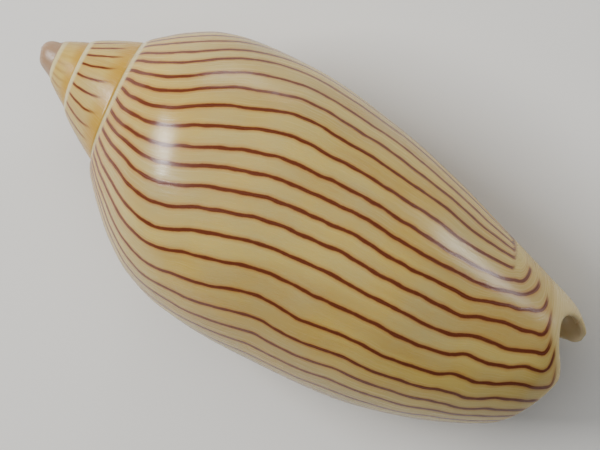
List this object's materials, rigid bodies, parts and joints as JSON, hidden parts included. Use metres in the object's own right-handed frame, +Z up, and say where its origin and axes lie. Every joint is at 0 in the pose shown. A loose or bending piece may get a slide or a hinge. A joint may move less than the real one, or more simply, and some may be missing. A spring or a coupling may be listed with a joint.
{
  "type": "volute shell",
  "caption": "Glossy spindle-shaped sea-snail shell with a short spire, a long open mouth, oblique folds on its inner lip and a notched front end, lying mouth down.",
  "frame": {"origin": "middle of the shell's box, at the surface it rests on", "axes": "+X along the shell from the pointed spire to the front end, +Z up through its back, +Y away from the outer lip"},
  "size_m": [0.092, 0.0426, 0.0372],
  "materials": {
    "shell": "glossy, cream with fine red-brown lines along the shell"
  },
  "bodies": {
    "root": {"shell": "shell"}
  },
  "joints": []
}
